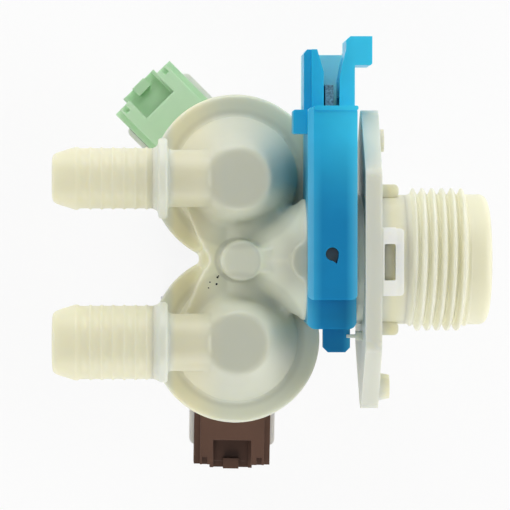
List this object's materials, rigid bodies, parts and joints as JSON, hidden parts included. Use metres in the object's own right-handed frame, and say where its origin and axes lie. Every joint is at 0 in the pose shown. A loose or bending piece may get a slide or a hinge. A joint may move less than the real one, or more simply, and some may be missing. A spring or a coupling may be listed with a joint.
{
  "type": "washing machine inlet valve",
  "caption": "Twin solenoid water valve with a threaded inlet, a clip-on flow sensor, an oblong panel flange and side-by-side barbed hose outlets.",
  "frame": {"origin": "on the inlet axis, where the inlet thread ends and its plain end starts", "axes": "+X out of the inlet, +Y towards the upper valve and the sensor's plug side, +Z away from the coils, towards the domes"},
  "size_m": [0.0802, 0.082, 0.0546],
  "materials": {
    "cream_plastic": "satin, slightly translucent",
    "cover_plastic": "satin",
    "case_plastic": "satin",
    "white_plastic": "satin",
    "blue_plastic": "semi gloss",
    "green_plastic": "satin",
    "brown_plastic": "satin",
    "grey_plastic": "satin",
    "dark_plastic": "satin",
    "black_rubber": "matte",
    "board": "matte",
    "bright_steel": "turned",
    "zinc_steel": "zinc plated",
    "magnet": "sintered",
    "copper": "enamelled copper wire",
    "tin": "tin plated"
  },
  "bodies": {
    "valve": {"valve_body": "cream_plastic", "inlet_strainer": "white_plastic", "regulator_holder": "white_plastic", "regulator_washer": "black_rubber", "turbine_cage": "grey_plastic", "turbine_axle": "bright_steel", "sensor_housing": "blue_plastic", "sensor_board": "board", "sensor_chip": "dark_plastic", "upper_diaphragm": "black_rubber", "upper_spring": "bright_steel", "upper_guide": "cover_plastic", "upper_spool": "green_plastic", "upper_winding": "copper", "upper_yoke": "zinc_steel", "upper_case": "case_plastic", "upper_terminals": "tin", "lower_diaphragm": "black_rubber", "lower_spring": "bright_steel", "lower_guide": "cover_plastic", "lower_spool": "brown_plastic", "lower_winding": "copper", "lower_yoke": "zinc_steel", "lower_case": "case_plastic", "lower_terminals": "tin"},
    "rotor": {"turbine_rotor": "dark_plastic", "turbine_magnet": "magnet"},
    "upper_armature": {"upper_plunger": "bright_steel", "upper_tip": "black_rubber"},
    "upper_pilot": {"upper_core": "white_plastic"},
    "lower_armature": {"lower_plunger": "bright_steel", "lower_tip": "black_rubber"},
    "lower_pilot": {"lower_core": "white_plastic"}
  },
  "joints": [
    {"name": "turbine_spin", "type": "hinge", "parent": "valve", "child": "rotor", "pos_m": [-0.02528, 0, 0], "axis": [1, 0, 0], "continuous": true},
    {"name": "upper_plunger_slide", "type": "slide", "parent": "valve", "child": "upper_armature", "axis": [0, 0, -1], "range_m": [0, 0.0024], "stiffness_N_per_m": 150, "springref_m": -0.006, "deforming": ["upper_spring"]},
    {"name": "upper_pilot_slide", "type": "slide", "parent": "valve", "child": "upper_pilot", "axis": [0, 0, -1], "range_m": [0, 0.0016], "deforming": ["upper_diaphragm"]},
    {"name": "lower_plunger_slide", "type": "slide", "parent": "valve", "child": "lower_armature", "axis": [0, 0, -1], "range_m": [0, 0.0024], "stiffness_N_per_m": 150, "springref_m": -0.006, "deforming": ["lower_spring"]},
    {"name": "lower_pilot_slide", "type": "slide", "parent": "valve", "child": "lower_pilot", "axis": [0, 0, -1], "range_m": [0, 0.0016], "deforming": ["lower_diaphragm"]}
  ],
  "couplings": [
    {"joint": "upper_pilot_slide", "follows": "upper_plunger_slide", "ratio": 0.666},
    {"joint": "lower_pilot_slide", "follows": "lower_plunger_slide", "ratio": 0.666}
  ]
}
